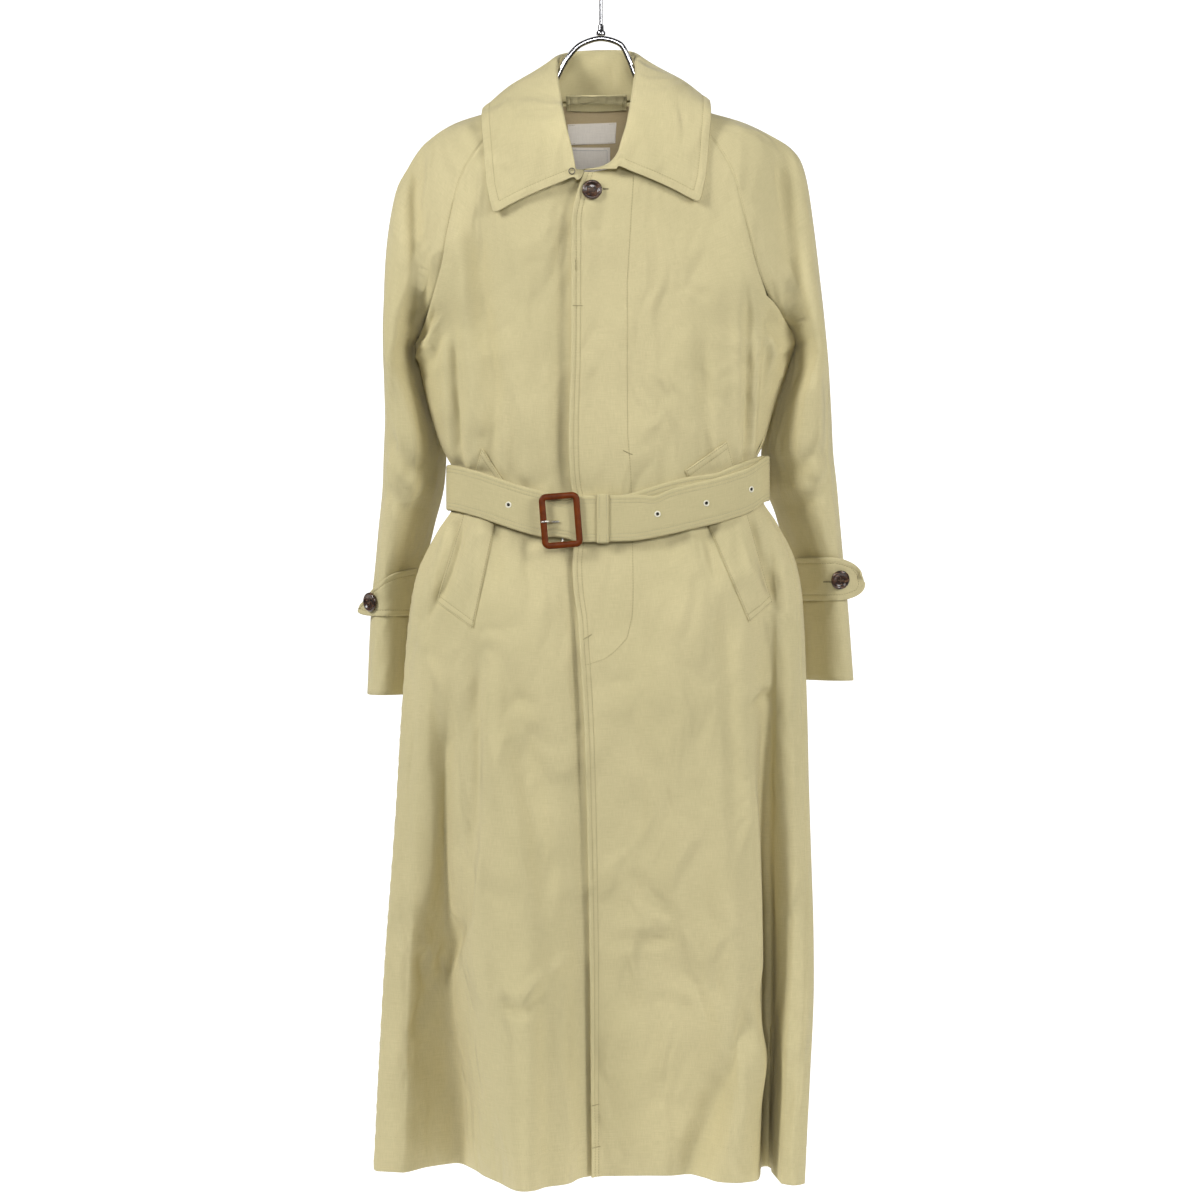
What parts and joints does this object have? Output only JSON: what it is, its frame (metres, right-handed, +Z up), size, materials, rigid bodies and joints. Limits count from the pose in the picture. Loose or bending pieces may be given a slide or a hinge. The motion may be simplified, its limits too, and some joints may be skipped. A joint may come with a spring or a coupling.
{
  "type": "belted balmacaan coat on a hanger",
  "caption": "Long belted balmacaan coat with raglan sleeves, turn-down collar, slanting welt pockets and cuff straps, hanging open-hemmed on a wire hanger.",
  "frame": {"origin": "where the inside top of the hanger's hook bears on its rail", "axes": "+Z up along the hanging coat; +X to the right of someone facing the coat; the coat's front faces -Y"},
  "size_m": [0.5622, 0.2556, 1.3708],
  "materials": {
    "cloth": "matte close-woven gabardine",
    "lining": "smooth lining",
    "label": "matte woven tape",
    "leather": "smooth",
    "horn": "polished horn",
    "chrome": "polished",
    "trim_metal": "satin"
  },
  "bodies": {
    "root": {"front_left": "cloth", "front_right": "cloth", "back": "cloth", "sleeve_left_front": "cloth", "sleeve_left_back": "cloth", "sleeve_right_front": "cloth", "sleeve_right_back": "cloth", "collar": "cloth", "pocket_welt_left": "cloth", "pocket_welt_right": "cloth", "belt": "cloth", "belt_keeper": "cloth", "cuff_strap_left": "cloth", "cuff_strap_right": "cloth", "hanging_loop": "cloth", "lining_back": "lining", "label_upper": "label", "label_lower": "label", "buckle_frame": "leather", "button_neck": "horn", "button_cuff_left": "horn", "button_cuff_right": "horn", "hanger_bow": "chrome", "hanger_hook": "chrome", "hanger_swivel": "chrome", "buckle_bar": "trim_metal", "buckle_prong": "trim_metal", "eyelet_1": "trim_metal", "eyelet_2": "trim_metal", "eyelet_3": "trim_metal", "eyelet_4": "trim_metal", "neck_hook_eye": "trim_metal"}
  },
  "joints": []
}
